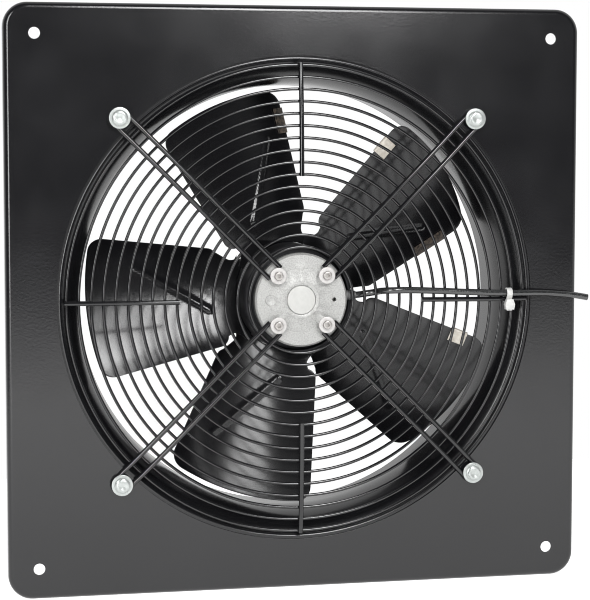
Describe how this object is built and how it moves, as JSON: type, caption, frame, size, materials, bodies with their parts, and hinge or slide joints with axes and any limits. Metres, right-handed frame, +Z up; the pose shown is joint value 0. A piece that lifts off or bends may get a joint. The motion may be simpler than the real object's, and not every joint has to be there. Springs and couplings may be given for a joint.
{
  "type": "axial extractor fan",
  "caption": "Square wall-plate axial extractor fan: drawn inlet ring, welded wire guard carrying an external-rotor motor, and pitched sheet-steel blades that spin in the throat.",
  "frame": {"origin": "fan axis at the front face of the wall plate", "axes": "+Y along the fan axis, away from the guard and into the wall; +Z up; +X to the right seen from the guard side"},
  "size_m": [0.4944, 0.092, 0.485],
  "materials": {
    "plate_paint": "satin black powder coat on pressed sheet steel",
    "wire_paint": "satin black coat on welded steel wire",
    "blade_paint": "semi-gloss black coat on sheet steel",
    "zinc": "bright zinc plate",
    "casting": "matte die-cast aluminium",
    "cap_white": "smooth off-white",
    "steel": "plain machined steel",
    "lamination": "dark laminated steel",
    "copper": "enamelled copper wire",
    "clip": "dull spring steel",
    "rubber": "matte black",
    "nylon": "white nylon"
  },
  "bodies": {
    "frame": {"wall_plate": "plate_paint", "inlet_ring": "plate_paint", "wire_guard": "wire_paint", "guard_bolt_top_left": "zinc", "guard_washer_top_left": "zinc", "guard_nut_top_left": "zinc", "guard_bolt_top_right": "zinc", "guard_washer_top_right": "zinc", "guard_nut_top_right": "zinc", "guard_bolt_bottom_right": "zinc", "guard_washer_bottom_right": "zinc", "guard_nut_bottom_right": "zinc", "guard_bolt_bottom_left": "zinc", "guard_washer_bottom_left": "zinc", "guard_nut_bottom_left": "zinc", "motor_flange": "casting", "bearing_cap": "cap_white", "motor_screw_top_left": "steel", "motor_washer_top_left": "zinc", "motor_screw_top_right": "steel", "motor_washer_top_right": "zinc", "motor_screw_bottom_right": "steel", "motor_washer_bottom_right": "zinc", "motor_screw_bottom_left": "steel", "motor_washer_bottom_left": "zinc", "front_bearing_outer_ring": "steel", "front_bearing_ball_set": "steel", "rear_bearing_outer_ring": "steel", "rear_bearing_ball_set": "steel", "bearing_spring": "steel", "stator_core": "lamination", "stator_winding": "copper", "cable_grommet": "rubber", "supply_cable": "rubber", "cable_tie": "nylon"},
    "impeller": {"front_bearing_inner_ring": "steel", "rear_bearing_inner_ring": "steel", "shaft": "steel", "shaft_circlip": "steel", "rotor_shell": "blade_paint", "rotor_cage": "lamination", "blade_1": "blade_paint", "blade_2": "blade_paint", "blade_3": "blade_paint", "blade_4": "blade_paint", "blade_5": "blade_paint", "balance_clip_1": "clip", "balance_clip_2": "clip", "balance_clip_3": "clip", "balance_clip_4": "clip"}
  },
  "joints": [
    {"name": "impeller_spin", "type": "hinge", "parent": "frame", "child": "impeller", "pos_m": [0, 0.035, 0], "axis": [0, -1, 0], "continuous": true}
  ]
}
